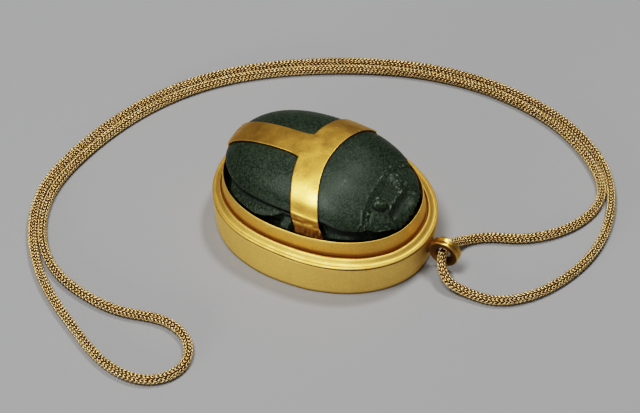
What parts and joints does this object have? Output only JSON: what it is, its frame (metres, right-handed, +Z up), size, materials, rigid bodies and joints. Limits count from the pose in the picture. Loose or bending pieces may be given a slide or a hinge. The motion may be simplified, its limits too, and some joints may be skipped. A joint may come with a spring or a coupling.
{
  "type": "scarab amulet",
  "caption": "Oval pendant: a carved green stone beetle in a stepped gold setting with a T-shaped gold strap, on a doubled woven gold chain.",
  "frame": {"origin": "middle of the setting's oval, on the flat underside that the amulet lies on", "axes": "+X towards the beetle's head and the hanging ring, +Z up through the beetle's back, +Y towards the beetle's left side"},
  "size_m": [0.1573, 0.152, 0.0297],
  "materials": {
    "green_stone": "smooth dark green stone, worn to a soft sheen",
    "satin_gold": "satin gold with small pits and dents",
    "chain_gold": "woven gold wire, dark between the links"
  },
  "bodies": {
    "root": {"stone_scarab": "green_stone", "side_band": "satin_gold", "stepped_collar": "satin_gold", "gold_strap": "satin_gold", "hanging_ring": "satin_gold", "gold_chain": "chain_gold"}
  },
  "joints": []
}
